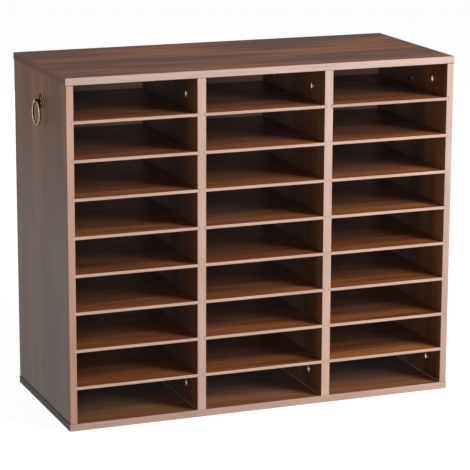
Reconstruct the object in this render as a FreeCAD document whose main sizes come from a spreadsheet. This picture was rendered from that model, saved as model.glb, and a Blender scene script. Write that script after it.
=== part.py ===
import FreeCAD, Part
import os
import re
import Sketcher
from FreeCAD import Placement, Rotation, Vector

# Pigeonhole mail sorter: three columns of nine compartments in a knock-down carcass.
#
# Four uprights stand between the top and bottom panels and are drawn tight by cam locks.
# Thin shelves slide in from the front, on grooves sawn across the uprights. The back panel
# is caught in grooves all round, and a ring pull hangs on each side.
#
# Millimetres. X runs to the right, Y to the rear and Z up. The origin is the centre of the
# footprint, on the surface that the sorter stands on.

SIZES = {
    # Carcass
    "carcass_width": 700,              # over the top and bottom panels
    "carcass_depth": 305,
    "carcass_height": 597,
    "board_thickness": 12,             # top, bottom and side panels
    "partition_thickness": 15,         # the two inner uprights
    "side_inset": 1,                   # how far the top and bottom stand out past the sides
    "band_thickness": 1,               # strip glued to each front edge
    "rows": 9,                         # compartments in a column
    # Shelves and the grooves that carry them
    "shelf_thickness": 5,
    "shelf_bevel_width": 0.4,          # on the two front edges
    "groove_depth": 4,
    "groove_clearance": 0.4,           # free height above a shelf in its groove
    "shelf_end_clearance": 0.5,        # between a shelf's end and the groove's bottom
    "shelf_rear_clearance": 0.5,       # between a shelf and the back panel
    # Back panel
    "back_thickness": 3,
    "back_recess_depth": 22,           # from the carcass's rear edge to the panel's rear face
    "back_groove_depth": 5,
    "back_clearance": 0.2,
    # Cam locks
    "cam_diameter": 14.8,
    "cam_bore_diameter": 15.2,
    "cam_skin_thickness": 2.5,         # wood left behind a cam's bore
    "cam_recess_depth": 0.2,           # how far a cam's face lies below the wood
    "cam_end_distance": 34,            # from an upright's end to the cam's centre
    "cam_front_distance": 53,          # from the front, or from the back panel
    "cam_chamber_diameter": 9,         # round hollow that holds the bolt's head
    "cam_clearance": 0.3,
    "cross_length": 7.5,               # screwdriver cross in the cam's face
    "cross_width": 1.4,
    "cross_depth": 1.8,
    # Bolts that the cams pull on
    "bolt_diameter": 4,
    "bolt_screwed_length": 9,          # thread in a level panel
    "bolt_head_diameter": 6,
    "bolt_head_length": 2.6,
    "bolt_clearance": 0.3,             # round the head on its way into an upright
    "thread_clearance": 0.05,
    # Dowels between the cams
    "dowel_diameter": 6,
    "dowel_panel_depth": 8,
    "dowel_upright_depth": 18,
    "dowel_bevel_width": 0.8,
    "dowel_clearance": 0.1,
    "hole_spare_depth": 0.5,           # depth of a bolt's or dowel's hole past its end
    # Ring pulls
    "pull_front_distance": 140,        # from the front to the pull's centre
    "pull_shelf_distance": 12.5,       # from the top shelf up to the pull's centre
    "pull_standoff_distance": 9.5,     # from the side panel to the middle of the ring's wire
    "ring_diameter": 40,               # to the middle of the wire
    "wire_diameter": 3.4,
    "ring_clearance": 0.25,
    "eye_thickness": 5,
    "eye_wall_thickness": 2.4,
    "post_diameter": 4,
    "post_hole_diameter": 4.6,
    "post_tail_length": 1.2,           # thread that shows past the nut
    "collar_diameter": 9,
    "collar_height": 1.2,
    "neck_diameter": 4.4,
    "rosette_diameter": 25,
    "rosette_rim_height": 1.8,
    "rosette_boss_diameter": 14,
    "rosette_height": 3.2,
    "rosette_bevel_width": 0.7,
    "washer_diameter": 10,
    "washer_thickness": 1,
    "nut_width": 7,                    # across the flats
    "nut_height": 3.2,
}

# Sizes that follow from those above.
DERIVED = {
    "inner_height": "carcass_height - 2 * board_thickness",
    "cell_height": "(inner_height - (rows - 1) * shelf_thickness) / rows",
    "shelf_pitch": "cell_height + shelf_thickness",
    "inner_width": "carcass_width - 2 * side_inset - 2 * board_thickness",
    "column_width": "(inner_width - 2 * partition_thickness) / 3",
    "column_pitch": "column_width + partition_thickness",
    "groove_height": "shelf_thickness + groove_clearance",
    "shelf_width": "column_width + 2 * (groove_depth - shelf_end_clearance)",
    "back_front": "carcass_depth - back_recess_depth - back_thickness",
    "shelf_depth": "back_front - shelf_rear_clearance",
    "back_groove": "back_thickness + back_clearance",
    "back_reach": "back_groove_depth - back_clearance",
    "top_underside": "carcass_height - board_thickness",
    "side_middle": "carcass_width / 2 - side_inset - board_thickness / 2",
    "partition_middle": "column_pitch / 2",
    "front_cam": "cam_front_distance",
    "rear_cam": "back_front - cam_front_distance",
    "dowel_inset": "(front_cam + rear_cam) / 2",
    "bolt_bore": "bolt_head_diameter + 2 * bolt_clearance",
    "bolt_pilot": "bolt_diameter + 2 * thread_clearance",
    "dowel_hole": "dowel_diameter + 2 * dowel_clearance",
    "head_room": "bolt_head_diameter / 2 + cam_clearance",
    "rod_room": "bolt_diameter / 2 + cam_clearance",
    "head_offset": "sqrt((cam_chamber_diameter / 2) ^ 2 - (bolt_head_diameter / 2) ^ 2) - cam_clearance",
    "bolt_shoulder": "cam_end_distance - head_offset",
    "bolt_end": "bolt_shoulder + bolt_head_length",
    "pull_height": "top_underside - cell_height + pull_shelf_distance",
    "ring_sag": "eye_thickness ^ 2 / (4 * ring_diameter)",
    "eye_hole": "wire_diameter + 2 * (ring_clearance + ring_sag)",
    "eye_radius": "eye_hole / 2 + eye_wall_thickness",
    "collar_top": "rosette_height + collar_height",
    "nut_bore": "post_diameter + 2 * thread_clearance",
    "post_inside": "board_thickness + washer_thickness + nut_height + post_tail_length",
}

RIGHT, REAR, UP = Vector(1, 0, 0), Vector(0, 1, 0), Vector(0, 0, 1)

doc = FreeCAD.newDocument("MailSorter")
sheet = doc.addObject("Spreadsheet::Sheet", "sizes")
for row, (name, number) in enumerate(SIZES.items(), start=1):
    sheet.set(f"A{row}", name)
    sheet.set(f"B{row}", str(number))
    sheet.setAlias(f"B{row}", name)
doc.recompute()

nodes = []


def cells(formula):
    """Write a formula out in the sheet's cells."""
    def expand(word):
        if word.group() in DERIVED:
            return "(" + cells(DERIVED[word.group()]) + ")"
        return "sizes." + word.group() if word.group() in SIZES else word.group()
    return re.sub(r"[a-z]\w*", expand, formula)


def bind(item, **formulas):
    """Tie properties of an object to formulas."""
    for prop, formula in formulas.items():
        item.setExpression(prop, cells(formula))


def place(item, across="0", back="0", high="0", turn=None):
    """Put an object where three formulas say."""
    if turn:
        item.Placement = Placement(Vector(), turn)
    for axis, formula in zip("xyz", (across, back, high)):
        item.setExpression(f"Placement.Base.{axis}", cells(formula))


def keep(item, label):
    """Name an object as a piece of the sorter."""
    item.Label = label
    nodes.append(item)
    return item


# --- sketches and features -------------------------------------------------------------


def own_plane(body, role):
    """Find one of a body's own three planes."""
    return [item for item in body.Origin.OriginFeatures if item.Role == role][0]


def attach(item, body, role, offset):
    """Lay an object on one of its body's planes, moved along the plane's normal."""
    item.AttachmentSupport = (own_plane(body, role), [""])
    item.MapMode = "FlatFace"
    item.setExpression("AttachmentOffset.Base.z", cells(offset))


def sketch_on(body, role, offset="0"):
    """Start a sketch on one of a body's own planes."""
    sketch = body.newObject("Sketcher::SketchObject", body.Name + "_sketch")
    attach(sketch, body, role, offset)
    return sketch


def measure(sketch, kind, points, formula):
    """Add a dimension that follows a formula."""
    index = sketch.addConstraint(Sketcher.Constraint(kind, *points, 1.0))
    sketch.setExpression(f"Constraints[{index}]", cells(formula))


def pin(sketch, geometry, point, across, along):
    """Fix a point by its two distances from the sketch's origin."""
    for kind, axis, formula in (("DistanceX", -2, across), ("DistanceY", -1, along)):
        if formula == "0":
            sketch.addConstraint(Sketcher.Constraint("PointOnObject", geometry, point, axis))
        else:
            measure(sketch, kind, (-1, 1, geometry, point), formula)


def outline(sketch, corners):
    """Draw a closed outline of straight lines through corners given by formulas."""
    spots = [Vector(10 * corner, corner * corner, 0) for corner in range(len(corners))]
    first = sketch.GeometryCount
    for here, there in zip(spots, spots[1:] + spots[:1]):
        sketch.addGeometry(Part.LineSegment(here, there), False)
    for line, (across, along) in enumerate(corners):
        before = first + (line - 1) % len(corners)
        sketch.addConstraint(Sketcher.Constraint("Coincident", before, 2, first + line, 1))
        pin(sketch, first + line, 1, across, along)


def rectangle(sketch, left, right, low, high):
    """Draw a rectangle between four formulas."""
    outline(sketch, [(left, low), (right, low), (right, high), (left, high)])


def circle(sketch, across, along, diameter):
    """Draw a circle with its centre and diameter given by formulas."""
    index = sketch.addGeometry(Part.Circle(Vector(), UP, 1.0), False)
    pin(sketch, index, 3, across, along)
    measure(sketch, "Diameter", (index,), diameter)


def pad(body, sketch, length, backwards=False):
    """Raise a sketch into a solid."""
    feature = body.newObject("PartDesign::Pad", body.Name + "_pad")
    feature.Profile = sketch
    feature.Reversed = backwards
    bind(feature, Length=length)
    return feature


def pocket(body, sketch, length=None, backwards=False):
    """Cut a sketch into the solid, right through it where no length is given."""
    feature = body.newObject("PartDesign::Pocket", body.Name + "_pocket")
    feature.Profile = sketch
    feature.Reversed = backwards
    if length:
        bind(feature, Length=length)
    else:
        feature.Type = "ThroughAll"
    return feature


def revolve(body, corners):
    """Turn an outline about the body's upright axis."""
    profile = sketch_on(body, "XZ_Plane")
    outline(profile, corners)
    feature = body.newObject("PartDesign::Revolution", body.Name + "_turned")
    feature.Profile = profile
    feature.ReferenceAxis = (profile, ["V_Axis"])
    feature.Angle = 360
    return feature


def repeat_up_rows(body, feature):
    """Repeat a cut at the height of every shelf."""
    pattern = body.newObject("PartDesign::LinearPattern", body.Name + "_rows")
    pattern.Originals = [feature]
    pattern.Direction = (feature.Profile[0], ["V_Axis"])
    bind(pattern, Length="(rows - 2) * shelf_pitch", Occurrences="rows - 1")
    body.Tip = pattern


def new_body(label):
    """Start a sub-part."""
    return doc.addObject("PartDesign::Body", label)


# --- carcass ---------------------------------------------------------------------------
# Boards are drawn with their own Y = 0 on the carcass's front plane, band included.

UPRIGHT_MIDDLES = ("-side_middle", "-partition_middle", "partition_middle", "side_middle")


def level_panel(label, underside, inner_face_up):
    """Top or bottom panel, with the holes and the groove in the face turned inwards."""
    body = new_body(label)
    edges = sketch_on(body, "XY_Plane")
    rectangle(edges, "-carcass_width / 2", "carcass_width / 2", "band_thickness", "carcass_depth")
    pad(body, edges, "board_thickness")
    face = "board_thickness" if inner_face_up else "0"
    into_wood = not inner_face_up

    groove = sketch_on(body, "XY_Plane", face)
    reach = "inner_width / 2 + back_groove_depth"
    rectangle(groove, f"-({reach})", reach, "back_front", "back_front + back_groove")
    pocket(body, groove, "back_groove_depth", into_wood)

    pilots = sketch_on(body, "XY_Plane", face)
    dowel_holes = sketch_on(body, "XY_Plane", face)
    for middle in UPRIGHT_MIDDLES:
        for deep in ("front_cam", "rear_cam"):
            circle(pilots, middle, deep, "bolt_pilot")
        circle(dowel_holes, middle, "dowel_inset", "dowel_hole")
    pocket(body, pilots, "bolt_screwed_length + hole_spare_depth", into_wood)
    pocket(body, dowel_holes, "dowel_panel_depth + hole_spare_depth", into_wood)
    place(body, back="-carcass_depth / 2", high=underside)
    keep(body, label)


def level_band(label, underside):
    """Strip on the front edge of the top or bottom panel."""
    body = new_body(label)
    edges = sketch_on(body, "XY_Plane")
    rectangle(edges, "-carcass_width / 2", "carcass_width / 2", "0", "band_thickness")
    pad(body, edges, "board_thickness")
    place(body, back="-carcass_depth / 2", high=underside)
    keep(body, label)


def cut_grooves(body, thickness, grooved):
    """Saw the shelves' grooves into one or both faces of an upright or its band."""
    ends = sketch_on(body, "XZ_Plane")
    spans = {"left": ("0", "groove_depth"), "right": (f"{thickness} - groove_depth", thickness)}
    for face in grooved:
        rectangle(ends, *spans[face], "cell_height", "cell_height + groove_height")
    repeat_up_rows(body, pocket(body, ends))


def upright(label, left, thickness, rear, grooved, cam_face):
    """Side panel or partition: grooves, cam bores, and bolt and dowel holes in its ends."""
    body = new_body(label)
    foot = sketch_on(body, "XY_Plane")
    rectangle(foot, "0", thickness, "band_thickness", rear)
    pad(body, foot, "inner_height")
    cut_grooves(body, thickness, grooved)

    cams = sketch_on(body, "YZ_Plane", "0" if cam_face == "left" else thickness)
    for deep in ("front_cam", "rear_cam"):
        circle(cams, deep, "cam_end_distance", "cam_bore_diameter")
        circle(cams, deep, "inner_height - cam_end_distance", "cam_bore_diameter")
    pocket(body, cams, f"{thickness} - cam_skin_thickness", cam_face == "left")

    for height, into_wood in (("0", True), ("inner_height", False)):
        bolts = sketch_on(body, "XY_Plane", height)
        for deep in ("front_cam", "rear_cam"):
            circle(bolts, f"{thickness} / 2", deep, "bolt_bore")
        pocket(body, bolts, "cam_end_distance", into_wood)
        dowel_hole = sketch_on(body, "XY_Plane", height)
        circle(dowel_hole, f"{thickness} / 2", "dowel_inset", "dowel_hole")
        pocket(body, dowel_hole, "dowel_upright_depth + hole_spare_depth", into_wood)
    place(body, left, "-carcass_depth / 2", "board_thickness")
    return keep(body, label)


def finish_side(body, inner_face):
    """Cut a side panel's groove for the back panel and the hole for its ring pull."""
    groove = sketch_on(body, "XY_Plane")
    spans = {"left": ("0", "back_groove_depth"),
             "right": ("board_thickness - back_groove_depth", "board_thickness")}
    rectangle(groove, *spans[inner_face], "back_front", "back_front + back_groove")
    pocket(body, groove, None, True)
    hole = sketch_on(body, "YZ_Plane", "board_thickness")
    circle(hole, "pull_front_distance", "pull_height - board_thickness", "post_hole_diameter")
    pocket(body, hole)


def upright_band(label, left, thickness, grooved):
    """Strip on the front edge of an upright, sawn through with the grooves."""
    body = new_body(label)
    foot = sketch_on(body, "XY_Plane")
    rectangle(foot, "0", thickness, "0", "band_thickness")
    pad(body, foot, "inner_height")
    cut_grooves(body, thickness, grooved)
    place(body, left, "-carcass_depth / 2", "board_thickness")
    keep(body, label)


level_panel("top_panel", "top_underside", inner_face_up=False)
level_panel("bottom_panel", "0", inner_face_up=True)
level_band("top_edge_band", "top_underside")
level_band("bottom_edge_band", "0")

# Name, left face, thickness, rear edge, grooved faces, face that the cams are let into.
UPRIGHTS = (
    ("left_side", "-inner_width / 2 - board_thickness", "board_thickness", "carcass_depth",
     ("right",), "right"),
    ("left_partition", "-column_width / 2 - partition_thickness", "partition_thickness",
     "back_front", ("left", "right"), "left"),
    ("right_partition", "column_width / 2", "partition_thickness",
     "back_front", ("left", "right"), "left"),
    ("right_side", "inner_width / 2", "board_thickness", "carcass_depth", ("left",), "left"),
)
for label, left, thickness, rear, grooved, cam_face in UPRIGHTS:
    stood = upright(label, left, thickness, rear, grooved, cam_face)
    if thickness == "board_thickness":
        finish_side(stood, cam_face)
    upright_band(label + "_edge_band", left, thickness, grooved)

back_panel = new_body("back_panel")
edges = sketch_on(back_panel, "XZ_Plane")
half = "inner_width / 2 + back_reach"
rectangle(edges, f"-({half})", half, "-back_reach", "inner_height + back_reach")
pad(back_panel, edges, "back_thickness", backwards=True)
place(back_panel, "0", "back_front - carcass_depth / 2", "board_thickness")
keep(back_panel, "back_panel")


# --- shelves ---------------------------------------------------------------------------


def shelf(label, column, row):
    """Thin shelf on a pair of grooves; row 1 is the lowest."""
    body = new_body(label)
    side = sketch_on(body, "YZ_Plane")
    outline(side, [("0", "shelf_bevel_width"), ("shelf_bevel_width", "0"), ("shelf_depth", "0"),
                   ("shelf_depth", "shelf_thickness"), ("shelf_bevel_width", "shelf_thickness"),
                   ("0", "shelf_thickness - shelf_bevel_width")])
    pad(body, side, "shelf_width")
    place(body, f"{column} * column_pitch - shelf_width / 2", "-carcass_depth / 2",
          f"board_thickness + {row} * shelf_pitch - shelf_thickness")
    keep(body, label)


for column, column_name in ((-1, "left"), (0, "middle"), (1, "right")):
    for row in range(1, SIZES["rows"]):
        shelf(f"shelf_{column_name}_{row}", column, row)


# --- cam locks, bolts and dowels -------------------------------------------------------


def group(label, members):
    """Gather alike fasteners as separate solids of one node."""
    compound = doc.addObject("Part::Compound", label)
    compound.Links = members
    keep(compound, label)


def cam(label, thickness):
    """Cam: its face is on local Z = 0, and its bolt comes in from local +Y."""
    body = new_body(label)
    height = f"({thickness} - cam_skin_thickness - cam_recess_depth)"
    behind_bolt = f"({height} - {thickness} / 2 + cam_recess_depth)"
    disc = sketch_on(body, "XY_Plane")
    circle(disc, "0", "0", "cam_diameter")
    pad(body, disc, height, backwards=True)

    # The hollow for the bolt's head and the slots for its way in are all cut from behind.
    chamber = sketch_on(body, "XY_Plane", f"-{height}")
    circle(chamber, "0", "0", "cam_chamber_diameter")
    pocket(body, chamber, f"{behind_bolt} + head_room", True)
    for left, right, room in (("0", "cam_diameter", "head_room"),
                              ("-rod_room", "rod_room", "rod_room")):
        slot = sketch_on(body, "XY_Plane", f"-{height}")
        low, high = ("-head_room", "head_room") if room == "head_room" else ("0", "cam_diameter")
        rectangle(slot, left, right, low, high)
        pocket(body, slot, f"{behind_bolt} + {room}", True)

    for long, wide in (("cross_length", "cross_width"), ("cross_width", "cross_length")):
        bar = sketch_on(body, "XY_Plane")
        rectangle(bar, f"-{long} / 2", f"{long} / 2", f"-{wide} / 2", f"{wide} / 2")
        pocket(body, bar, "cross_depth")
    return body


def bolt(label):
    """Bolt that screws into a level panel at local Z = 0 and hangs by its head below."""
    body = new_body(label)
    revolve(body, [
        ("0", "bolt_screwed_length"), ("bolt_diameter / 2", "bolt_screwed_length"),
        ("bolt_diameter / 2", "-bolt_shoulder"), ("bolt_head_diameter / 2", "-bolt_shoulder"),
        ("bolt_head_diameter / 2", "-bolt_end"), ("0", "-bolt_end")])
    return body


def dowel(label):
    """Bevelled dowel that reaches from an upright into the panel above local Z = 0."""
    body = new_body(label)
    middle, end = "dowel_diameter / 2", "dowel_diameter / 2 - dowel_bevel_width"
    revolve(body, [
        ("0", "-dowel_upright_depth"), (end, "-dowel_upright_depth"),
        (middle, "dowel_bevel_width - dowel_upright_depth"),
        (middle, "dowel_panel_depth - dowel_bevel_width"), (end, "dowel_panel_depth"),
        ("0", "dowel_panel_depth")])
    return body


# End of the uprights, the height of the joint, which way the panel lies, and the cams' height.
ENDS = (
    ("top", "top_underside", UP, "top_underside - cam_end_distance"),
    ("bottom", "board_thickness", -UP, "board_thickness + cam_end_distance"),
)
for label, left, thickness, rear, grooved, cam_face in UPRIGHTS:
    if cam_face == "left":
        outwards, cam_plane = -RIGHT, f"{left} + cam_recess_depth"
    else:
        outwards, cam_plane = RIGHT, f"{left} + {thickness} - cam_recess_depth"
    cams = []
    for end, joint_height, panel_way, cam_height in ENDS:
        turn = Rotation(Vector(), panel_way, outwards, "ZYX")
        for deep in ("front_cam", "rear_cam"):
            piece = cam(f"{label}_{end}_{deep}_lock", thickness)
            place(piece, cam_plane, f"{deep} - carcass_depth / 2", cam_height, turn)
            cams.append(piece)
    group(label + "_cams", cams)

for end, joint_height, panel_way, cam_height in ENDS:
    for kind, make, depths in (("cam_bolt", bolt, ("front_cam", "rear_cam")),
                               ("dowel", dowel, ("dowel_inset",))):
        pieces = []
        for middle in UPRIGHT_MIDDLES:
            for deep in depths:
                piece = make(f"{end}_{kind}")
                place(piece, middle, f"{deep} - carcass_depth / 2", joint_height,
                      Rotation(UP, panel_way))
                pieces.append(piece)
        group(f"{end}_{kind}s", pieces)


# --- ring pulls ------------------------------------------------------------------------
# A pull's own Z points away from the side panel, its Y up; Z = 0 is the panel's outer face.


def rosette(label):
    """Round stepped plate behind the eye, with bevelled rims."""
    body = new_body(label)
    rim, boss, bevel = "rosette_diameter / 2", "rosette_boss_diameter / 2", "rosette_bevel_width"
    revolve(body, [
        ("post_hole_diameter / 2", "0"), (rim, "0"), (rim, f"rosette_rim_height - {bevel}"),
        (f"{rim} - {bevel}", "rosette_rim_height"), (boss, "rosette_rim_height"),
        (boss, f"rosette_height - {bevel}"), (f"{boss} - {bevel}", "rosette_height"),
        ("post_hole_diameter / 2", "rosette_height")])
    return body


def eye_post(label):
    """Threaded post with a flattened ball at its end, bored for the ring."""
    body = new_body(label)
    revolve(body, [
        ("0", "-post_inside"), ("post_diameter / 2", "-post_inside"),
        ("post_diameter / 2", "rosette_height"), ("collar_diameter / 2", "rosette_height"),
        ("collar_diameter / 2", "collar_top"), ("neck_diameter / 2", "collar_top"),
        ("neck_diameter / 2", "pull_standoff_distance"), ("0", "pull_standoff_distance")])
    ball = body.newObject("PartDesign::AdditiveSphere", label + "_ball")
    attach(ball, body, "XY_Plane", "pull_standoff_distance")
    bind(ball, Radius="eye_radius")

    cheek = sketch_on(body, "YZ_Plane", "eye_thickness / 2")
    rectangle(cheek, "-eye_radius", "eye_radius", "collar_top", "pull_standoff_distance + eye_radius")
    flat = pocket(body, cheek, None, True)
    both = body.newObject("PartDesign::Mirrored", label + "_cheeks")
    both.Originals = [flat]
    both.MirrorPlane = (own_plane(body, "YZ_Plane"), [""])
    body.Tip = both

    bore = sketch_on(body, "YZ_Plane", "eye_thickness / 2")
    circle(bore, "0", "pull_standoff_distance", "eye_hole")
    pocket(body, bore)
    return body


def bored(label, outer):
    """Bore a nut or washer for the post's thread."""
    hole = doc.addObject("Part::Cylinder", label + "_bore")
    bind(hole, Radius="nut_bore / 2", Height="washer_thickness + nut_height")
    piece = doc.addObject("Part::Cut", label)
    piece.Base = outer
    piece.Tool = hole
    return piece


def washer(label):
    """Washer under the nut."""
    disc = doc.addObject("Part::Cylinder", label + "_disc")
    bind(disc, Radius="washer_diameter / 2", Height="washer_thickness")
    return bored(label, disc)


def nut(label):
    """Hexagon nut."""
    hexagon = doc.addObject("Part::Prism", label + "_hexagon")
    hexagon.Polygon = 6
    bind(hexagon, Circumradius="nut_width / sqrt(3)", Height="nut_height")
    return bored(label, hexagon)


def ring(label):
    """Ring bent from round wire."""
    wire = doc.addObject("Part::Torus", label)
    bind(wire, Radius1="ring_diameter / 2", Radius2="wire_diameter / 2")
    return wire


for side, outwards, sign in (("left", -RIGHT, "-1"), ("right", RIGHT, "1")):
    facing_out = Rotation(Vector(), UP, outwards, "ZYX")
    facing_in = Rotation(Vector(), UP, -outwards, "ZYX")
    # Each piece, how far its own origin lies outside the panel's face, and its way round.
    fittings = (
        (rosette, "rosette", "0", "0", facing_out),
        (eye_post, "post", "0", "0", facing_out),
        (ring, "ring", "pull_standoff_distance", "ring_diameter / 2", facing_out),
        (washer, "washer", "-board_thickness", "0", facing_in),
        (nut, "nut", "-board_thickness - washer_thickness", "0", facing_in),
    )
    for make, name, outside, drop, turn in fittings:
        piece = make(f"{side}_pull_{name}")
        place(piece, f"{sign} * (inner_width / 2 + board_thickness + {outside})",
              "pull_front_distance - carcass_depth / 2", f"pull_height - {drop}", turn)
        keep(piece, f"{side}_pull_{name}")


# --- checks and files ------------------------------------------------------------------

doc.recompute()
for item in doc.Objects:
    if "Invalid" in item.State or "Error" in item.State:
        raise RuntimeError(f"{item.Label} did not rebuild: {item.State}")
    if item.TypeId == "PartDesign::Pocket" and item.Shape.Volume > item.BaseFeature.Shape.Volume - 1e-6:
        raise RuntimeError(f"{item.Label} cuts nothing")
for node in nodes:
    if node.Shape.isNull() or not node.Shape.isValid() or not node.Shape.Solids:
        raise RuntimeError(f"{node.Label} has no sound solid")

os.makedirs("parts", exist_ok=True)
for node in nodes:
    node.Shape.exportStep(f"parts/{node.Label}.step")
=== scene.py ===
import math

import bpy
from mathutils import Matrix, Vector


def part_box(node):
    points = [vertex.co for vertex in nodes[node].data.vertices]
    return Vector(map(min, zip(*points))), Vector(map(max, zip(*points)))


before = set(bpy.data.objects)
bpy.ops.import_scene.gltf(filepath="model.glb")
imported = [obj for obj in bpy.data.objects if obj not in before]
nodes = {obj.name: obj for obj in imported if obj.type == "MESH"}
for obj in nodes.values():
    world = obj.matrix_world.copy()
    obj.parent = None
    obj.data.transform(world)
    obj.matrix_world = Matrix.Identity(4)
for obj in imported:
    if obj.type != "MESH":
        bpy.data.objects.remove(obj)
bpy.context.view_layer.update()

# Looks of the pigeonhole mail sorter. Metres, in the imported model's own frame. Colours are linear.

MM = 0.001
UPRIGHTS = ("left_side", "left_partition", "right_partition", "right_side")

# The corners of the boards together, without the edge strips on their fronts.
low_corner, high_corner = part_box("bottom_panel")[0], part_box("top_panel")[1]
middle = (low_corner + high_corner) / 2
column_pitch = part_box("shelf_right_1")[0].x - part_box("shelf_middle_1")[0].x


# --- node trees ---------------------------------------------------------------------------


class Tree:
    """A node tree, added to and joined up in short calls."""

    def __init__(self, owner):
        owner.use_nodes = True
        self.nodes = owner.node_tree.nodes
        self.links = owner.node_tree.links
        self.nodes.clear()

    def add(self, kind, inputs=None, **settings):
        """Add a node; an input is a plain value or the socket that feeds it."""
        node = self.nodes.new("ShaderNode" + kind)
        for name, value in settings.items():
            setattr(node, name, value)
        for key, value in (inputs or {}).items():
            if isinstance(value, bpy.types.NodeSocket):
                self.links.new(value, node.inputs[key])
            else:
                node.inputs[key].default_value = value
        return node

    def math(self, operation, *values, clamp=False):
        """Combine numbers."""
        inputs = dict(enumerate(values))
        return self.add("Math", inputs, operation=operation, use_clamp=clamp).outputs[0]

    def spread(self, value, low, high, start=0.0, end=1.0):
        """Map a number's range onto another, held at its ends."""
        inputs = {0: value, 1: low, 2: high, 3: start, 4: end}
        return self.add("MapRange", inputs, clamp=True).outputs[0]

    def stretch(self, vector, factors):
        """Scale a vector by its own factor on each axis."""
        return self.add("VectorMath", {0: vector, 1: factors}, operation="MULTIPLY").outputs[0]

    def noise(self, vector, detail=2.0, roughness=0.5):
        """Smooth noise from 0 to 1, one unit of the vector to a wave."""
        inputs = {"Vector": vector, "Scale": 1.0, "Detail": detail, "Roughness": roughness}
        return self.add("TexNoise", inputs).outputs[0]

    def speckle(self, waves, detail=2.0, roughness=0.5):
        """Noise over the piece, with as many waves per metre every way."""
        return self.noise(self.stretch(self.position()[0], (waves,) * 3), detail, roughness)

    def ramp(self, value, stops):
        """Colour ramp through (position, (red, green, blue)) stops."""
        node = self.add("ValToRGB", {0: value})
        elements = node.color_ramp.elements
        while len(elements) < len(stops):
            elements.new(0.5)
        for element, (position, colour) in zip(elements, stops):
            element.position = position
            element.color = (*colour, 1)
        return node.outputs[0]

    def mix(self, share, first, second, blend="MIX"):
        """Mix two colours."""
        node = self.add("Mix", data_type="RGBA", blend_type=blend)
        for key, value in ((0, share), (6, first), (7, second)):
            if isinstance(value, bpy.types.NodeSocket):
                self.links.new(value, node.inputs[key])
            else:
                node.inputs[key].default_value = value if key == 0 else (*value, 1)
        return node.outputs[2]

    def position(self):
        """The point on the piece, in the model's frame at rest, and its three coordinates."""
        point = self.add("TexCoord").outputs["Object"]
        return point, self.add("SeparateXYZ", {0: point}).outputs

    def bump(self, height, distance):
        """Surface direction disturbed by a height."""
        inputs = {"Height": height, "Distance": distance, "Strength": 1.0}
        return self.add("Bump", inputs).outputs[0]

    def finish(self, shader, world=False):
        """Join a shader to the output."""
        kind = "OutputWorld" if world else "OutputMaterial"
        self.add(kind, {"Surface": shader})


def new_material(name):
    """An empty material, and its tree."""
    material = bpy.data.materials.new(name)
    return material, Tree(material)


def principled(tree, colour, roughness, normal, **fixed):
    """The surface shader; what is the same all over goes straight onto its sockets."""
    inputs = {"Base Color": colour, "Roughness": roughness, "Normal": normal}
    inputs.update({name.replace("_", " "): value for name, value in fixed.items()})
    return tree.add("BsdfPrincipled", inputs).outputs[0]


# --- walnut print, and the bare board under it --------------------------------------------

WALNUT_RED = (
    (0.32, (0.062, 0.017, 0.008)), (0.44, (0.140, 0.040, 0.014)), (0.54, (0.195, 0.060, 0.021)),
    (0.68, (0.290, 0.106, 0.038)), (0.84, (0.410, 0.172, 0.066)))
WALNUT_OLIVE = (
    (0.32, (0.056, 0.021, 0.009)), (0.44, (0.122, 0.046, 0.017)), (0.54, (0.176, 0.069, 0.025)),
    (0.68, (0.270, 0.124, 0.046)), (0.84, (0.385, 0.196, 0.078)))
PORE_COLOUR = (0.020, 0.009, 0.006)
PORE_COVER = 0.55              # how far a pore covers the print
PORE_LEVELS = (0.60, 0.70)     # noise at a pore's rim and in its middle
HUE_LEVELS = (0.40, 0.60)      # noise where the print is at its reddest and at its most olive
NOISE_LEVELS = (0.3, 0.7)      # noise rarely goes beyond these
ROUGH_SWING = 0.05             # how far the streaks turn the roughness up and down
FIBRE_SHARE = 0.10             # share of the fibres in the print's tone
FIBRE_RISE = 0.4               # height of the fibres, beside a pore's depth of 1
PRINT_RELIEF = 0.04 * MM
BENDS, WAVERS = 60 * MM, 9 * MM    # how far the grain's long and short curves swing in all
BOARD_STEP = 20.0              # noise waves per metre through the boards, so that no two match

GRAIN_NOISE = {                # waves per metre along and across, offset, detail, roughness
    "bends": (1.3, 6, 0.0, 1, 0.5),
    "wavers": (5, 26, 9.0, 2, 0.5),
    "zones": (2.4, 13, 17.0, 1, 0.5),
    "bands": (2.8, 42, 3.0, 2, 0.5),
    "streaks": (5, 190, 5.0, 3, 0.6),
    "fibres": (14, 1100, 7.0, 2, 0.5),
    "pores": (70, 2600, 11.0, 1, 0.5),
    "hues": (1.6, 14, 13.0, 1, 0.5)}

CHIP_WAVES = (520, 260, 800)   # chips per metre on each axis
FELT_NOISE = (900, 4, 0.7)     # waves per metre, detail, roughness
CHIP_TONES = ((0.0, (0.20, 0.12, 0.065)), (0.5, (0.36, 0.24, 0.14)), (1.0, (0.50, 0.36, 0.22)))
FELT_TONES = ((0.3, (0.20, 0.115, 0.060)), (0.5, (0.30, 0.185, 0.100)), (0.7, (0.40, 0.26, 0.155)))
FELT_ROUGHNESS = 0.8
CHIP_ROUGHNESS = 0.85


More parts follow.
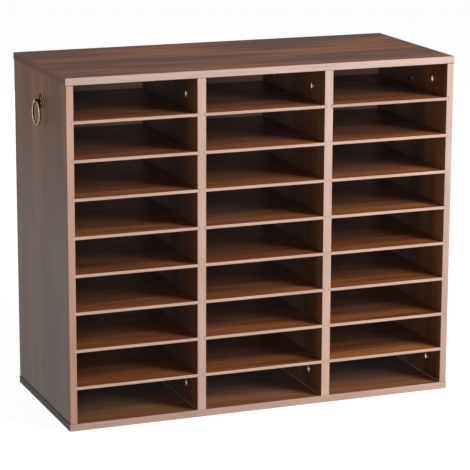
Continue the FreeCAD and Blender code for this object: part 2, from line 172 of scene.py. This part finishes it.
def grain(tree, axes, rough=0.5, lift=0.0, contrast=1.0, broad=0.34, fine=0.22, hues=(0.0, 1.0)):
    """Walnut print: colour, roughness and height. axes are distances along, across and through the
    grain; lift makes the board's print paler, or darker where it is negative; broad and fine are
    the shares of its widest zones and of its thin streaks; hues says how far it turns from the red
    to the olive print."""
    along, across, through = axes

    def layer(name, sideways):
        waves_along, waves_across, offset, detail, roughness = GRAIN_NOISE[name]
        place = tree.add("CombineXYZ", {
            0: tree.math("MULTIPLY_ADD", along, waves_along, offset),
            1: tree.math("MULTIPLY", sideways, waves_across),
            2: tree.math("MULTIPLY", through, BOARD_STEP)}).outputs[0]
        return tree.noise(place, detail, roughness)

    bent = across
    for name, reach in (("bends", BENDS), ("wavers", WAVERS)):
        push = tree.math("SUBTRACT", layer(name, across), 0.5)
        bent = tree.math("MULTIPLY_ADD", push, reach, bent)

    streaks, fibres = layer("streaks", bent), layer("fibres", bent)
    pores = tree.spread(layer("pores", bent), *PORE_LEVELS)
    tone = tree.math("ADD", lift, 0.5 - 0.5 * contrast)
    for part, share in ((layer("zones", bent), broad),
                        (layer("bands", bent), 1.0 - FIBRE_SHARE - broad - fine),
                        (streaks, fine), (fibres, FIBRE_SHARE)):
        tone = tree.math("MULTIPLY_ADD", part, share * contrast, tone)
    hue = tree.spread(layer("hues", bent), *HUE_LEVELS, *hues)
    colour = tree.mix(hue, tree.ramp(tone, WALNUT_RED), tree.ramp(tone, WALNUT_OLIVE))
    colour = tree.mix(tree.math("MULTIPLY", pores, PORE_COVER), colour, PORE_COLOUR)
    roughness = tree.spread(streaks, *NOISE_LEVELS, rough + ROUGH_SWING, rough - ROUGH_SWING)
    height = tree.math("MULTIPLY_ADD", pores, -1.0, tree.math("MULTIPLY", fibres, FIBRE_RISE))
    return colour, roughness, height


def chipboard(tree):
    """Sawn chipboard: pressed chips of several sizes and tones."""
    point = tree.position()[0]
    chips = tree.add("TexVoronoi", {"Vector": tree.stretch(point, CHIP_WAVES), "Scale": 1.0})
    tone = tree.add("SeparateXYZ", {0: chips.outputs["Color"]}).outputs[0]
    return tree.ramp(tone, CHIP_TONES)


def fibreboard(tree):
    """Bare pressed fibre: its colour and its height."""
    felt = tree.speckle(*FELT_NOISE)
    return tree.ramp(felt, FELT_TONES), felt


# --- laminated boards ---------------------------------------------------------------------

FACE_MARGIN = 0.2 * MM         # faces this near the end of a board are its end faces
OUTER_MARGIN = 1.3 * MM        # the sides' outer faces lie this near the carcass's ends
CUT_DEPTH = 0.45 * MM          # faces deeper inside a board than this are cut into it

# Grey film deep in the cells. Dust makes part of it, painted shade the rest.
GREY_DUST_AND_SHADE = (0.09, 0.115, 0.14)
DUST_AND_SHADE_REACH = 190 * MM          # Dust and painted shade lie thickest from here on, behind the front
UPRIGHT_DUST_AND_SHADE = (40 * MM, 0.45, GREY_DUST_AND_SHADE)  # where it starts, its share where thickest, its colour
SHELF_DUST_AND_SHADE = (50 * MM, 0.45, GREY_DUST_AND_SHADE)
BOTTOM_DUST_AND_SHADE = (40 * MM, 0.7, (0.20, 0.20, 0.25))

JOINT_DARK_LINE = (0.014, 0.009, 0.007)
JOINT_LINE_HEIGHT = 2.0 * MM         # over the joint of a side's outer face with the bottom panel
JOINT_LINE_DEPTH = 0.9 * MM          # under that joint, on the bottom panel's end faces
CHIPPED = (0.62, 0.52, 0.42)
CHIP_HEIGHT = 0.9 * MM
PAINTED_GREY_REFLECTION = (0.30, 0.25, 0.23)
GREY_REFLECTION_SHARE = 0.42             # up to the left side's middle
GREY_REFLECTION_GAP = 60 * MM            # from the head of that side down to where its painted grey reflection ends
END_HAZE = (0.27, 0.155, 0.22)
END_HAZE_SHARE = 0.18

SHADED_CORNER_REACH = 240 * MM        # how far the painted shade on the top panel's rear left corner runs to the right
SHADED_CORNER_LIFT = -0.22
PAINTED_LIGHT_STRIP = (20 * MM, 8 * MM)     # behind the front, where painted light pales the right side's inner face
PAINTED_LIGHT_STRIP_LIFT = 0.10


def depth_inside(tree, node):
    """How far a point of a board lies inside the board's own box."""
    low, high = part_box(node)
    coordinates = tree.position()[1]
    depths = []
    for axis in range(3):
        offset = tree.math("SUBTRACT", coordinates[axis], (low[axis] + high[axis]) / 2)
        away = tree.math("ABSOLUTE", offset)
        depths.append(tree.math("SUBTRACT", (high[axis] - low[axis]) / 2, away))
    return tree.math("MINIMUM", tree.math("MINIMUM", depths[0], depths[1]), depths[2])


def turned_on_ends(tree, node, order):
    """Distances along, across and through the grain, and 1 on a board's two end faces, where it
    runs level from the front to the rear. order names the grain's axes."""
    low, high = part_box(node)
    coordinates = tree.position()[1]
    end = "XYZ".index(order[0])
    offset = tree.math("SUBTRACT", coordinates[end], (low[end] + high[end]) / 2)
    away = tree.math("ABSOLUTE", offset)
    on_end = tree.math("GREATER_THAN", away, (high[end] - low[end]) / 2 - FACE_MARGIN)
    straight = [coordinates["XYZ".index(axis)] for axis in order]
    turned = straight[1:] + straight[:1]
    axes = [tree.math("MULTIPLY_ADD", on_end, tree.math("SUBTRACT", there, here), here)
            for here, there in zip(straight, turned)]
    return axes, on_end


def inside_carcass(tree):
    """1 on every face of an upright but its outer one."""
    x = tree.position()[1][0]
    return tree.math("LESS_THAN", tree.math("ABSOLUTE", x), high_corner.x - OUTER_MARGIN)


def dusty_and_shaded(tree, colour, depth, film):
    """Grey film that thickens with the depth behind the front. Dust makes part of it, painted shade
    the rest.
    """
    start, share, grey = film
    return tree.mix(tree.spread(depth, start, DUST_AND_SHADE_REACH, 0.0, share), colour, grey)


def foot_joint(tree, node, colour):
    """An upright's foot, on the bottom panel: chipped on its inner faces, dark along the joint
    outside. Over the left side's lower part, a painted grey reflection lies on the print."""
    x, _, z = tree.position()[1]
    foot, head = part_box(node)[0].z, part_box(node)[1].z
    outside = tree.math("GREATER_THAN", tree.math("ABSOLUTE", x), high_corner.x - OUTER_MARGIN)
    # Painted reflection: the left side's outer face turns grey towards its foot.
    if node == "left_side":
        grey_reflection = tree.spread(z, (foot + head) / 2, head - GREY_REFLECTION_GAP, GREY_REFLECTION_SHARE, 0.0)
        colour = tree.mix(tree.math("MULTIPLY", outside, grey_reflection), colour, PAINTED_GREY_REFLECTION)
    dark_line = tree.math("MULTIPLY", outside, tree.math("LESS_THAN", z, foot + JOINT_LINE_HEIGHT))
    colour = tree.mix(dark_line, colour, JOINT_DARK_LINE)
    low_down = tree.math("LESS_THAN", z, foot + CHIP_HEIGHT)
    chips = tree.math("SUBTRACT", low_down, outside, clamp=True)
    return tree.mix(chips, colour, CHIPPED)


def print_and_painted_light_lift(tree, node, order, on_end, lifts, reach, end_lift):
    """How much paler than usual, or darker, the print is over a board; on some boards that is
    painted light and shade.
    """
    low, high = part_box(node)
    x, y, z = tree.position()[1]
    way, start = (y, low.y) if order[0] == "X" else (z, low.z)
    lift = tree.spread(way, start + reach[0], start + reach[1], *lifts)
    lift = tree.math("MULTIPLY_ADD", on_end, tree.math("SUBTRACT", end_lift, lift), lift)
    # Painted light on the right side's inner face, just behind its front.
    if node == "right_side":
        strip = tree.spread(tree.math("SUBTRACT", y, low.y), *PAINTED_LIGHT_STRIP)
        strip = tree.math("MULTIPLY", inside_carcass(tree), strip)
        lift = tree.math("MULTIPLY_ADD", strip, PAINTED_LIGHT_STRIP_LIFT, lift)
    # Painted shade on the top panel's rear left corner.
    if node == "top_panel":
        corner = tree.math("MULTIPLY", tree.spread(x, low.x + SHADED_CORNER_REACH, low.x),
                           tree.spread(y, middle.y, high.y))
        lift = tree.math("MULTIPLY_ADD", corner, SHADED_CORNER_LIFT, lift)
    return lift


def laminated_board(node, order, rough, gloss, lifts, reach, end_lift=0.0, sheen=0.0, **settings):
    """Walnut-printed board; what is cut into it shows its chipboard core. order names the axes
    along, across and through the grain. The print's tone goes from the first of lifts to the
    second between the distances in reach, from the front or up from the foot, with painted light
    and shade on some boards; its end faces have end_lift. The rest of the settings are the grain's
    own."""
    material, tree = new_material(node + "_walnut")
    axes, on_end = turned_on_ends(tree, node, order)
    low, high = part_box(node)
    _, y, z = tree.position()[1]
    lift = print_and_painted_light_lift(tree, node, order, on_end, lifts, reach, end_lift)
    colour, roughness, height = grain(tree, axes, rough, lift, **settings)
    cut = tree.math("GREATER_THAN", depth_inside(tree, node), CUT_DEPTH)
    colour = tree.mix(cut, colour, chipboard(tree))
    depth = tree.math("SUBTRACT", y, low.y)
    if node in UPRIGHTS:
        # Dust and painted shade deep inside the carcass.
        dusted_and_shaded = dusty_and_shaded(tree, colour, depth, UPRIGHT_DUST_AND_SHADE)
        colour = tree.mix(inside_carcass(tree), colour, dusted_and_shaded)
        colour = foot_joint(tree, node, colour)
    elif node == "bottom_panel":
        # Dust and painted shade deep on the bottom panel.
        colour = tree.mix(on_end, dusty_and_shaded(tree, colour, depth, BOTTOM_DUST_AND_SHADE), colour)
        under_joint = tree.math("GREATER_THAN", z, high.z - JOINT_LINE_DEPTH)
        colour = tree.mix(tree.math("MULTIPLY", on_end, under_joint), colour, JOINT_DARK_LINE)
    else:
        colour = tree.mix(tree.math("MULTIPLY", on_end, END_HAZE_SHARE), colour, END_HAZE)
    roughness = tree.math("MAXIMUM", roughness, tree.math("MULTIPLY", cut, CHIP_ROUGHNESS))
    normal = tree.bump(height, PRINT_RELIEF)
    tree.finish(principled(tree, colour, roughness, normal, Specular_IOR_Level=gloss,
                           Sheen_Weight=sheen, Sheen_Roughness=0.5))
    return material


# --- pale edges ---------------------------------------------------------------------------

EDGE_TONES = ((0.30, (0.440, 0.281, 0.215)), (0.50, (0.516, 0.343, 0.272)),
              (0.70, (0.593, 0.410, 0.329)))
EDGE_LINES = (6, 420, 3, 0.65)     # waves per metre along and across, detail, roughness
EDGE_CLOUDS = (9, 40, 1, 0.5)
LINE_SHARE, CLOUD_SHARE = 0.6, 0.4
EDGE_ROUGHNESS = (0.55, 0.45)  # in its dark lines and in its pale ones
EDGE_RELIEF = 0.03 * MM

STRIP_SHADE_TINTS = {                # painted shade and light: the tint at a strip's left end or foot, and at its right end or head
    "left_side": ((0.88, 0.72, 0.66), (1.02, 0.94, 0.91)),
    "right_partition": ((1.12, 1.09, 1.06), (0.97, 1.04, 1.12)),
    "right_side": ((0.84, 0.83, 0.87), (0.90, 1.02, 1.11)),
    "top": ((0.95, 1.00, 1.04), (0.92, 0.99, 1.08)),
    "bottom": ((0.81, 0.80, 0.81), (0.90, 0.91, 0.93))}
NO_TINT = (1, 1, 1)
SEAM_COLOUR = (0.06, 0.033, 0.025)
SIDE_SEAM, PARTITION_SEAM = 0.9 * MM, 0.4 * MM     # height of the dark line at a strip's two ends


def edge_tone(tree, along):
    """Pale pinkish print with faint lines along the edge: its colour, and the lines alone."""
    point = tree.position()[0]

    def layer(waves_along, waves_across, detail, roughness):
        factors = [waves_across] * 3
        factors["XYZ".index(along)] = waves_along
        return tree.noise(tree.stretch(point, factors), detail, roughness)

    fine = layer(*EDGE_LINES)
    clouds = tree.math("MULTIPLY", layer(*EDGE_CLOUDS), CLOUD_SHARE)
    return tree.ramp(tree.math("MULTIPLY_ADD", fine, LINE_SHARE, clouds), EDGE_TONES), fine


def edge_strip(board, along):
    """Strip glued on a board's front edge, tinted from end to end with painted shade and light."""
    material, tree = new_material(board + "_edge")
    colour, fine = edge_tone(tree, along)
    # Painted shade and light along the strip.
    first, last = STRIP_SHADE_TINTS.get(board, (NO_TINT, NO_TINT))
    low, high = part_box(board + "_edge_band")
    axis = "XYZ".index(along)
    place = tree.position()[1][axis]
    tint = tree.mix(tree.spread(place, low[axis], high[axis]), first, last)
    colour = tree.mix(1.0, colour, tint, "MULTIPLY")
    if along == "Z":
        away = tree.math("ABSOLUTE", tree.math("SUBTRACT", place, (low.z + high.z) / 2))
        seam = SIDE_SEAM if board.endswith("side") else PARTITION_SEAM
        on_seam = tree.math("GREATER_THAN", away, (high.z - low.z) / 2 - seam)
        colour = tree.mix(on_seam, colour, SEAM_COLOUR)
    roughness = tree.spread(fine, *NOISE_LEVELS, *EDGE_ROUGHNESS)
    tree.finish(principled(tree, colour, roughness, tree.bump(fine, EDGE_RELIEF),
                           Specular_IOR_Level=0.35))
    return material


# --- shelves ------------------------------------------------------------------------------

SHELF_ROUGHNESS = 0.35
SHELF_STEP = 2.7               # metres of print between one column's shelves and the next
SHELF_LIFT = 0.135             # how much paler their print is than usual
OUTER_COLUMN_LIFT = -0.03      # added in the left and right columns
TOP_ROW_LIFT = -0.03
INNER_PAINTED_LIGHT = 0.05              # painted light, added over the rear of each shelf
INNER_PAINTED_LIGHT_REACH = (45 * MM, 75 * MM)   # how far behind the front that sets in
SHELF_TINT = (1.0, 0.83, 0.68)         # turns the print towards orange
RIGHT_SHELF_TINT = (1.04, 0.87, 0.60)
PALE_DEPTH = 1.42 * MM         # a shelf is pale this far behind its front edge
TOP_EDGE_SHADE = 0.19          # how much darker the pale edge of the shelf at the top right is


def shelf_board():
    """Thin walnut-printed shelf with a pale front edge; its ends and rear edge are bare board."""
    material, tree = new_material("shelf_walnut")
    x, y, z = tree.position()[1]
    low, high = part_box("shelf_middle_1")
    column = tree.math("ROUND", tree.math("DIVIDE", x, column_pitch))
    along = tree.math("MULTIPLY_ADD", column, SHELF_STEP, x)
    depth = tree.math("SUBTRACT", y, low_corner.y)
    top_row = tree.spread(z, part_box("shelf_middle_7")[0].z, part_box("shelf_middle_8")[0].z)
    lift = tree.math("MULTIPLY_ADD", tree.math("ABSOLUTE", column), OUTER_COLUMN_LIFT, SHELF_LIFT)
    lift = tree.math("MULTIPLY_ADD", top_row, TOP_ROW_LIFT, lift)
    # Painted light over the rear of each shelf.
    lift = tree.math("ADD", lift, tree.spread(depth, *INNER_PAINTED_LIGHT_REACH, 0.0, INNER_PAINTED_LIGHT))
    colour, roughness, height = grain(tree, (along, y, z), SHELF_ROUGHNESS, lift, contrast=1.7,
                                      broad=0.16, fine=0.36, hues=(0.30, 0.60))
    tint = tree.mix(tree.spread(column, 0.0, 1.0), SHELF_TINT, RIGHT_SHELF_TINT)
    colour = tree.mix(1.0, colour, tint, "MULTIPLY")
    # Dust and painted shade towards the shelf's rear.
    colour = dusty_and_shaded(tree, colour, depth, SHELF_DUST_AND_SHADE)

    from_middle = tree.math("ABSOLUTE", tree.math("MULTIPLY_ADD", column, -column_pitch, x))
    bare = tree.math("MAXIMUM", tree.math("GREATER_THAN", from_middle, high.x - FACE_MARGIN),
                     tree.math("GREATER_THAN", y, high.y - FACE_MARGIN))
    colour = tree.mix(bare, colour, fibreboard(tree)[0])

    pale = edge_tone(tree, "X")[0]
    shade = tree.math("MULTIPLY", top_row, tree.spread(column, -1.0, 1.0, 0.0, TOP_EDGE_SHADE))
    pale = tree.mix(shade, pale, (0, 0, 0))
    colour = tree.mix(tree.math("LESS_THAN", y, low.y + PALE_DEPTH), colour, pale)

    roughness = tree.math("MAXIMUM", roughness, tree.math("MULTIPLY", bare, FELT_ROUGHNESS))
    normal = tree.bump(height, PRINT_RELIEF)
    tree.finish(principled(tree, colour, roughness, normal, Specular_IOR_Level=0.5,
                           Sheen_Weight=0.014, Sheen_Roughness=0.5))
    return material


# --- back panel, fixings and pulls --------------------------------------------------------

BACK_HAZE = (0.53, 0.36, 0.34)
BACK_HAZE_SHARE = 0.6
FELT_RELIEF = 0.06 * MM

METAL_NOISE = (3, 0.6)         # detail and roughness of the metals' noise

# Colours and roughness run from each metal's dull places to its bright ones.
STEEL = ((0.36, (0.42, 0.42, 0.41)), (0.5, (0.56, 0.56, 0.55)), (0.64, (0.68, 0.68, 0.67)))
STEEL_ROUGHNESS = (0.40, 0.25)
STEEL_LEVELS = (0.35, 0.65)            # tone of those places
STEEL_BLOTCHES, STEEL_GRAIN = 160, 600     # waves per metre
BLOTCH_SHARE, GRAIN_SHARE = 0.7, 0.3       # of the tone
STEEL_RELIEF = 0.03 * MM

ZINC = ((0.36, (0.76, 0.72, 0.69)), (0.5, (0.88, 0.83, 0.80)), (0.64, (0.96, 0.92, 0.89)))
ZINC_ROUGHNESS = (0.40, 0.28)
ZINC_GRAIN = 600
ZINC_RELIEF = 0.06 * MM
CAM_RADIUS = 7.4 * MM
DISH_RADII = (4.6 * MM, 14 * MM)       # the dished faces' curves, front to rear and up and down

BRASS = ((0.0, (0.035, 0.022, 0.014)), (0.35, (0.10, 0.070, 0.046)), (0.7, (0.42, 0.33, 0.24)),
         (1.0, (0.66, 0.56, 0.44)))
BRASS_GRAZING = (0.4, 0.33, 0.26, 1)   # tint of its reflections at grazing angles
BRASS_ROUGHNESS = (0.42, 0.24)
BRASS_BLOTCHES, BRASS_GRAIN = 300, 1500
BRASS_RELIEF = 0.03 * MM
WEAR_AND_HIGHLIGHT_SHARE, BLOTCH_SWING = 0.85, 0.25    # of its tone: what wear with a painted highlight adds, and blotches change

BEECH = ((0.3, (0.42, 0.27, 0.15)), (0.7, (0.62, 0.44, 0.27)))
BEECH_WAVES = (1500, 1500, 60)
BEECH_ROUGHNESS = 0.7
BEECH_RELIEF = 0.05 * MM

CREST_FROM, CREST_TO = 0.3 * MM, 1.3 * MM      # beyond the ring's plane, where its wire is worn bright, with a painted highlight
TIP_FROM, TIP_TO = 1.0 * MM, 4.0 * MM          # beyond that plane, where the post's end is worn bright, with a painted highlight
RIM_INSETS = (0.2 * MM, 5.9 * MM)              # the rosette's turned rims, inside its outline, bright with wear and a painted highlight
RIM_INNER, RIM_OUTER, RIM_SHINE = 0.15 * MM, 0.45 * MM, 0.7


def hardboard():
    """Back panel: printed walnut in front, bare pressed fibre behind."""
    material, tree = new_material("back_hardboard")
    x, y, z = tree.position()[1]
    colour, roughness, _ = grain(tree, (z, x, y))
    colour = tree.mix(BACK_HAZE_SHARE, colour, BACK_HAZE)
    low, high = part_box("back_panel")
    behind = tree.math("GREATER_THAN", y, (low.y + high.y) / 2)
    bare, felt = fibreboard(tree)
    colour = tree.mix(behind, colour, bare)
    roughness = tree.math("MAXIMUM", roughness, tree.math("MULTIPLY", behind, FELT_ROUGHNESS))
    normal = tree.bump(felt, FELT_RELIEF)
    tree.finish(principled(tree, colour, roughness, normal, Specular_IOR_Level=0.3))
    return material


def plated_steel():
    """Zinc-plated steel with a mottled tone."""
    material, tree = new_material("plated_steel")
    blotches = tree.speckle(STEEL_BLOTCHES, *METAL_NOISE)
    fine = tree.speckle(STEEL_GRAIN, *METAL_NOISE)
    tone = tree.math("MULTIPLY", fine, GRAIN_SHARE)
    tone = tree.math("MULTIPLY_ADD", blotches, BLOTCH_SHARE, tone)
    roughness = tree.spread(tone, *STEEL_LEVELS, *STEEL_ROUGHNESS)
    tree.finish(principled(tree, tree.ramp(tone, STEEL), roughness, tree.bump(fine, STEEL_RELIEF),
                           Metallic=1.0))
    return material


def cam_metal():
    """Cast zinc; each cam's face is dished, more from front to rear than up and down, so that it
    glints in a tall streak on one side."""
    material, tree = new_material("cam_zinc")
    _, y, z = tree.position()[1]
    low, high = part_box("right_side_cams")
    dish = []
    for value, start, end, radius in ((y, low.y, high.y, DISH_RADII[0]),
                                      (z, low.z, high.z, DISH_RADII[1])):
        away = tree.math("ABSOLUTE", tree.math("SUBTRACT", value, (start + end) / 2))
        offset = tree.math("SUBTRACT", away, (end - start) / 2 - CAM_RADIUS)
        dish.append(tree.math("DIVIDE", tree.math("POWER", offset, 2), 2 * radius))
    fine = tree.speckle(ZINC_GRAIN, *METAL_NOISE)
    height = tree.math("MULTIPLY_ADD", fine, ZINC_RELIEF, tree.math("ADD", *dish))
    roughness = tree.spread(fine, *NOISE_LEVELS, *ZINC_ROUGHNESS)
    tree.finish(principled(tree, tree.ramp(fine, ZINC), roughness, tree.bump(height, 1.0),
                           Metallic=1.0))
    return material


def aged_brass(side, kind, wear_and_highlight):
    """Patinated brass, bright where a given function of the tree and x, y and z says; that
    brightness is wear with a painted highlight.
    """
    material, tree = new_material(f"{side}_{kind}_brass")
    x, y, z = tree.position()[1]
    blotches = tree.speckle(BRASS_BLOTCHES, *METAL_NOISE)
    blotches = tree.spread(blotches, *NOISE_LEVELS, -BLOTCH_SWING, BLOTCH_SWING)
    # Wear with a painted highlight, over the patina.
    shine = tree.math("MULTIPLY", wear_and_highlight(tree, x, y, z), WEAR_AND_HIGHLIGHT_SHARE)
    tone = tree.math("ADD", shine, blotches, clamp=True)
    roughness = tree.spread(tone, 0.0, 1.0, *BRASS_ROUGHNESS)
    normal = tree.bump(tree.speckle(BRASS_GRAIN), BRASS_RELIEF)
    tree.finish(principled(tree, tree.ramp(tone, BRASS), roughness, normal, Metallic=1.0,
                           Specular_Tint=BRASS_GRAZING))
    return material


def dress_pull(side):
    """A ring pull's visible pieces."""
    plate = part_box(side + "_pull_rosette")
    axis = (plate[0] + plate[1]) / 2
    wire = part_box(side + "_pull_ring")
    ring_plane = abs(wire[0].x + wire[1].x) / 2
    radius = (plate[1].y - plate[0].y) / 2

    def outer_crest_wear_and_highlight(tree, x, y, z):
        outwards = tree.math("ABSOLUTE", x)
        return tree.spread(outwards, ring_plane + CREST_FROM, ring_plane + CREST_TO)

    def post_end_wear_and_highlight(tree, x, y, z):
        outwards = tree.math("ABSOLUTE", x)
        return tree.spread(outwards, ring_plane + TIP_FROM, ring_plane + TIP_TO)

    def turned_rims_and_highlight(tree, x, y, z):
        squares = [tree.math("POWER", tree.math("SUBTRACT", value, centre), 2)
                   for value, centre in ((y, axis.y), (z, axis.z))]
        away = tree.math("SQRT", tree.math("ADD", *squares))
        rims = []
        for inset in RIM_INSETS:
            gap = tree.math("ABSOLUTE", tree.math("SUBTRACT", away, radius - inset))
            rims.append(tree.spread(gap, RIM_INNER, RIM_OUTER, RIM_SHINE, 0.0))
        return tree.math("MAXIMUM", *rims)

    dress(side + "_pull_rosette", aged_brass(side, "rosette", turned_rims_and_highlight), arris=0.3, segments=3)
    dress(side + "_pull_post", aged_brass(side, "post", post_end_wear_and_highlight), arris=0.25, segments=3)
    dress(side + "_pull_ring", aged_brass(side, "ring", outer_crest_wear_and_highlight))


def dowel_wood():
    """Bare beech with short flecks."""
    material, tree = new_material("dowel_beech")
    flecks = tree.noise(tree.stretch(tree.position()[0], BEECH_WAVES), detail=3)
    tree.finish(principled(tree, tree.ramp(flecks, BEECH), BEECH_ROUGHNESS,
                           tree.bump(flecks, BEECH_RELIEF), Specular_IOR_Level=0.3))
    return material


# --- dressing the frame's own pieces ------------------------------------------------------

WELD_REACH = 0.005 * MM
SHARP_ANGLE = math.radians(40)         # edges that turn by more than this are eased


def dress(node, material, arris=0.0, segments=2):
    """Give a CAD piece its material, joined-up faces and edges eased by arris millimetres."""
    piece = nodes[node]
    piece.data.materials.clear()
    piece.data.materials.append(material)
    weld = piece.modifiers.new("weld", "WELD")
    weld.merge_threshold = WELD_REACH
    if arris:
        bevel = piece.modifiers.new("arris", "BEVEL")
        bevel.width = arris * MM
        bevel.segments = segments
        bevel.limit_method = "ANGLE"
        bevel.angle_limit = SHARP_ANGLE
        bevel.use_clamp_overlap = True
    normals = piece.modifiers.new("normals", "WEIGHTED_NORMAL")
    normals.weight = 100
    normals.keep_sharp = True


# The top panel's print darkens towards its rear: painted shade.
dress("top_panel", laminated_board(
    "top_panel", "XYZ", rough=0.65, gloss=0.15, lifts=(-0.07, -0.16), reach=(20 * MM, 270 * MM),
    end_lift=0.25, contrast=2.0, broad=0.42, fine=0.16, hues=(0.0, 0.8)), arris=0.4)
# The bottom panel's print pales from 10 to 45 mm behind its front: painted light.
dress("bottom_panel", laminated_board(
    "bottom_panel", "XYZ", rough=0.60, gloss=0.20, lifts=(-0.03, 0.18), reach=(10 * MM, 45 * MM),
    end_lift=-0.2, sheen=0.03, contrast=1.4), arris=0.4)

UPRIGHT_LOOKS = {              # roughness, gloss, the print's lift at the foot and head, sheen
    # The left side's darker print at its foot is painted shade.
    "left_side": (0.56, 0.24, (-0.08, 0.0), 0.0),
    "left_partition": (0.45, 0.33, (-0.02, 0.0), 0.04),
    "right_partition": (0.45, 0.33, (0.0, 0.0), 0.04),
    "right_side": (0.45, 0.33, (0.03, 0.03), 0.04)}
for name in UPRIGHTS:
    rough, gloss, lifts, sheen = UPRIGHT_LOOKS[name]
    dress(name, laminated_board(
        name, "ZYX", rough, gloss, lifts, reach=(290 * MM, 520 * MM), sheen=sheen, contrast=1.5,
        broad=0.52, fine=0.10, hues=(0.35, 1.3)), arris=0.3)
    dress(name + "_edge_band", edge_strip(name, "Z"), arris=0.45)
for name in ("top", "bottom"):
    dress(name + "_edge_band", edge_strip(name, "X"), arris=0.45)
dress("back_panel", hardboard())

shelf_material = shelf_board()
for name in nodes:
    if name.startswith("shelf_"):
        dress(name, shelf_material)

zinc = cam_metal()
steel = plated_steel()
beech = dowel_wood()
for name in UPRIGHTS:
    dress(name + "_cams", zinc, arris=0.15)
for end in ("top", "bottom"):
    dress(end + "_cam_bolts", steel)
    dress(end + "_dowels", beech)
for side in ("left", "right"):
    dress_pull(side)
    dress(side + "_pull_washer", steel, arris=0.1)
    dress(side + "_pull_nut", steel, arris=0.2)


# --- stage, lights and camera -------------------------------------------------------------

FLOOR_REACH = 30.0
FLOOR_DROP = 0.1 * MM          # the floor lies this far under the sorter
FLOOR_GLOW = 0.92              # brightness of the floor in full shadow, as the camera sees it
FLOOR_SHADE = 0.30             # what full light adds to that
FLOOR_BOUNCE = 0.30            # share of the light that the floor throws back on the sorter
AMBIENT = 0.16

CAMERA_TURN = math.radians(21.42)      # how far left of straight ahead the camera stands
CAMERA_RISE = math.radians(13.25)
CAMERA_ROLL = math.radians(0.20)
CAMERA_DISTANCE = 3.7617               # from the middle of the sorter's front
CAMERA_ASIDE = 0.0511                  # how far that middle lies right of the view's middle
CAMERA_ABOVE = -0.0103                 # and how far above it
LENS, SENSOR = 169.7, 36.0             # millimetres


def grey(level):
    """Opaque grey, as a shader's colour."""
    return (level, level, level, 1)


def seen_directly(tree):
    """1 for rays from the camera, and for those that gloss or glass pass on."""
    rays = tree.add("LightPath").outputs
    seen = tree.math("ADD", rays["Is Camera Ray"], rays["Is Glossy Ray"])
    return tree.math("ADD", seen, rays["Is Transmission Ray"], clamp=True)


def make_floor():
    """Pale floor: near white to the camera, with the sorter's shadow; it throws back dim light."""
    mesh = bpy.data.meshes.new("floor")
    corners = [(x * FLOOR_REACH, y * FLOOR_REACH, -FLOOR_DROP)
               for x, y in ((-1, -1), (1, -1), (1, 1), (-1, 1))]
    mesh.from_pydata(corners, [], [(0, 1, 2, 3)])
    floor = bpy.data.objects.new("floor", mesh)
    bpy.context.scene.collection.objects.link(floor)
    material, tree = new_material("floor_white")
    shaded = tree.add("BsdfDiffuse", {"Color": grey(FLOOR_SHADE)}).outputs[0]
    glow = tree.add("Emission", {"Color": grey(FLOOR_GLOW), "Strength": 1.0}).outputs[0]
    white = tree.add("AddShader", {0: shaded, 1: glow}).outputs[0]
    plain = tree.add("BsdfDiffuse", {"Color": grey(FLOOR_BOUNCE)}).outputs[0]
    tree.finish(tree.add("MixShader", {0: seen_directly(tree), 1: plain, 2: white}).outputs[0])
    mesh.materials.append(material)


def make_world():
    """Surroundings: white where the camera sees them, and dim even light for all else."""
    world = bpy.data.worlds.new("studio")
    bpy.context.scene.world = world
    tree = Tree(world)
    white = tree.add("Background", {"Color": grey(1), "Strength": 1.0}).outputs[0]
    ambient = tree.add("Background", {"Color": grey(1), "Strength": AMBIENT}).outputs[0]
    both = tree.add("MixShader", {0: seen_directly(tree), 1: ambient, 2: white}).outputs[0]
    tree.finish(both, world=True)


def softbox(name, spot, power, width, height):
    """Area lamp at a spot, turned towards the sorter's middle."""
    light = bpy.data.lights.new(name, "AREA")
    light.shape = "RECTANGLE"
    light.size, light.size_y = width, height
    light.energy = power
    lamp = bpy.data.objects.new(name, light)
    bpy.context.scene.collection.objects.link(lamp)
    lamp.location = spot
    lamp.rotation_euler = (middle - Vector(spot)).to_track_quat("-Z", "Y").to_euler()


def make_camera():
    """Camera at the photograph's place, angle and field of view."""
    forward = Vector((math.sin(CAMERA_TURN) * math.cos(CAMERA_RISE),
                      math.cos(CAMERA_TURN) * math.cos(CAMERA_RISE), -math.sin(CAMERA_RISE)))
    right = Vector((math.cos(CAMERA_TURN), -math.sin(CAMERA_TURN), 0))
    up = right.cross(forward)
    front_middle = Vector((middle.x, low_corner.y, middle.z))
    spot = front_middle - CAMERA_ASIDE * right - CAMERA_ABOVE * up - CAMERA_DISTANCE * forward
    camera = bpy.data.cameras.new("camera")
    camera.sensor_width = SENSOR
    camera.lens = LENS
    holder = bpy.data.objects.new("camera", camera)
    bpy.context.scene.collection.objects.link(holder)
    turned = Matrix((right, up, -forward)).transposed() @ Matrix.Rotation(CAMERA_ROLL, 3, "Z")
    holder.matrix_world = Matrix.Translation(spot) @ turned.to_4x4()
    bpy.context.scene.camera = holder


make_floor()
make_world()
softbox("key", (1.40, -1.65, 1.50), power=74, width=0.9, height=1.9)
softbox("front_fill", (-1.5, -3.9, 0.55), power=34, width=1.5, height=1.0)
softbox("left_fill", (-2.8, 0.3, 0.6), power=8.5, width=1.4, height=1.4)
softbox("back_fill", (0.6, 3.2, 0.35), power=24, width=1.2, height=0.5)
make_camera()
bpy.context.scene.view_settings.view_transform = "Standard"
